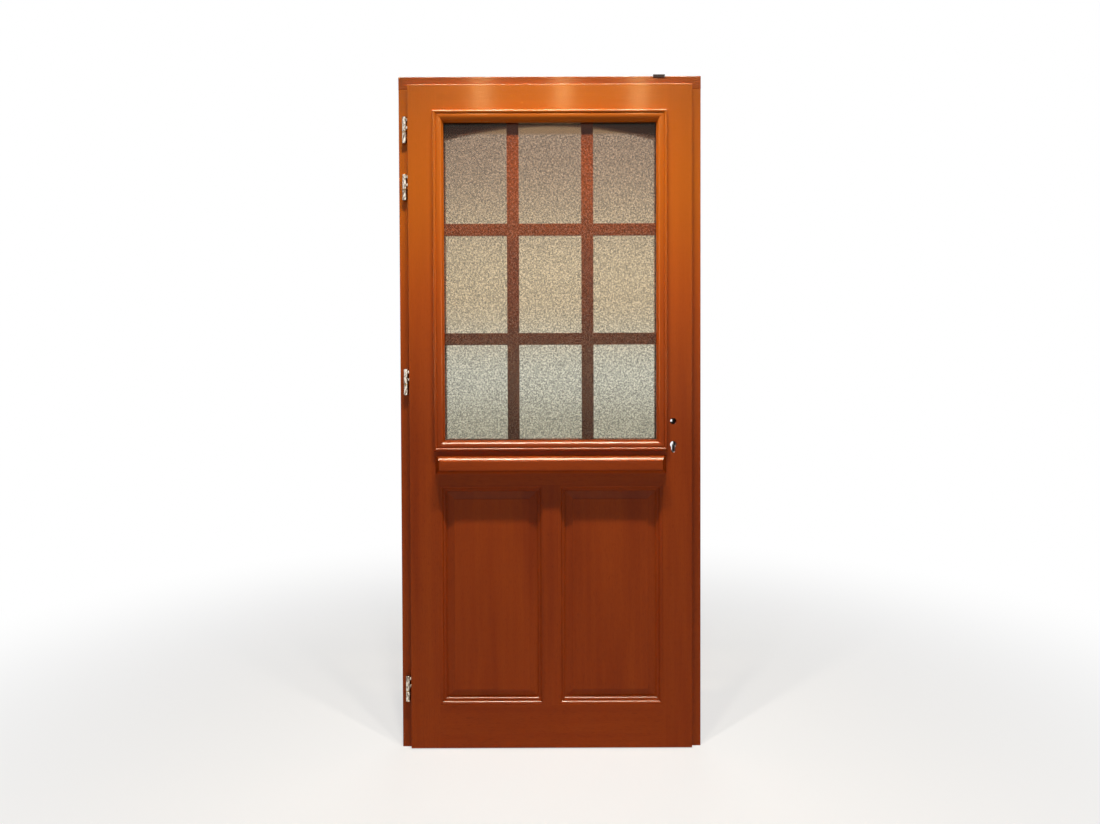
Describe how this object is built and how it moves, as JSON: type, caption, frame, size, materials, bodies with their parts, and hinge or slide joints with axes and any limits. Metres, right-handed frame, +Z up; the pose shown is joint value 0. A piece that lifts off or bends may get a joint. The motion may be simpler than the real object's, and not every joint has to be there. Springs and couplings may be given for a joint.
{
  "type": "glazed entrance door",
  "caption": "Stained timber entrance door in its frame, with textured glazing and internal bars above a moulded ledge and raised panels.",
  "frame": {"origin": "middle of the sill's underside, half way through the frame's depth", "axes": "+X towards the lock side, +Y into the building, +Z up; the face with the hinges and the ledge looks along -Y"},
  "size_m": [0.94, 0.128, 2.104],
  "materials": {
    "stained_timber_upright": "semi-gloss stain, grain upright",
    "stained_timber_level": "semi-gloss stain, grain level",
    "mill_aluminium": "mill",
    "brown_rubber": "matt",
    "block_plastic": "matt",
    "brass_washer": "satin",
    "textured_glass": "fine ornamental texture",
    "clear_glass": "polished",
    "brown_bar": "matt brown coating",
    "satin_nickel": "satin nickel plate",
    "zinc_steel": "zinc plate"
  },
  "bodies": {
    "frame": {"frame_head": "stained_timber_level", "frame_jamb_hinge_side": "stained_timber_upright", "frame_jamb_lock_side": "stained_timber_upright", "threshold": "mill_aluminium", "frame_gasket": "brown_rubber", "strike_plate": "satin_nickel", "strike_screws": "satin_nickel", "head_fixing_lug": "zinc_steel", "hinge_1_frame_part": "satin_nickel", "hinge_2_frame_part": "satin_nickel", "hinge_3_frame_part": "satin_nickel", "hinge_4_frame_part": "satin_nickel", "hinge_1_pin": "satin_nickel", "hinge_2_pin": "satin_nickel", "hinge_3_pin": "satin_nickel", "hinge_4_pin": "satin_nickel", "hinge_washers": "brass_washer"},
    "leaf": {"stile_hinge_side": "stained_timber_upright", "stile_lock_side": "stained_timber_upright", "top_rail": "stained_timber_level", "lock_rail": "stained_timber_level", "bottom_rail": "stained_timber_level", "panel_mullion": "stained_timber_upright", "panel_left": "stained_timber_upright", "panel_right": "stained_timber_upright", "panel_left_front_moulding": "stained_timber_upright", "panel_left_back_moulding": "stained_timber_upright", "panel_right_front_moulding": "stained_timber_upright", "panel_right_back_moulding": "stained_timber_upright", "ledge_moulding": "stained_timber_level", "glazing_moulding_bottom": "stained_timber_level", "glazing_moulding_right": "stained_timber_upright", "glazing_moulding_top": "stained_timber_level", "glazing_moulding_left": "stained_timber_upright", "front_pane": "textured_glass", "rear_pane": "clear_glass", "spacer_frame": "mill_aluminium", "glazing_tapes": "brown_rubber", "glazing_bars_vertical": "brown_bar", "glazing_bars_horizontal": "brown_bar", "glazing_blocks": "block_plastic", "rear_bead_bottom": "stained_timber_level", "rear_bead_left": "stained_timber_upright", "rear_bead_right": "stained_timber_upright", "rear_arch_head": "stained_timber_level", "bottom_seal": "brown_rubber", "hinge_1_leaf_part": "satin_nickel", "hinge_2_leaf_part": "satin_nickel", "hinge_3_leaf_part": "satin_nickel", "hinge_4_leaf_part": "satin_nickel", "lock_case": "zinc_steel", "lock_cover": "zinc_steel", "lock_faceplate": "satin_nickel", "lock_screws": "satin_nickel"},
    "follower": {"follower": "zinc_steel"},
    "latch_bolt": {"latch_bolt": "satin_nickel"},
    "dead_bolt": {"dead_bolt": "satin_nickel"}
  },
  "joints": [
    {"name": "door_swing", "type": "hinge", "parent": "frame", "child": "leaf", "pos_m": [-0.45, -0.045, 1.05], "axis": [0, 0, -1], "range_deg": [0, 110]},
    {"name": "follower_turn", "type": "hinge", "parent": "leaf", "child": "follower", "pos_m": [0.381, -0.0115, 1.027], "axis": [0, -1, 0], "range_deg": [0, 35], "stiffness_Nm_per_rad": 0.6},
    {"name": "latch_slide", "type": "slide", "parent": "leaf", "child": "latch_bolt", "axis": [-1, 0, 0], "range_m": [0, 0.012]},
    {"name": "dead_bolt_throw", "type": "slide", "parent": "leaf", "child": "dead_bolt", "axis": [1, 0, 0], "range_m": [0, 0.02]}
  ],
  "couplings": [
    {"joint": "latch_slide", "follows": "follower_turn", "m_per_rad": 0.01964}
  ]
}
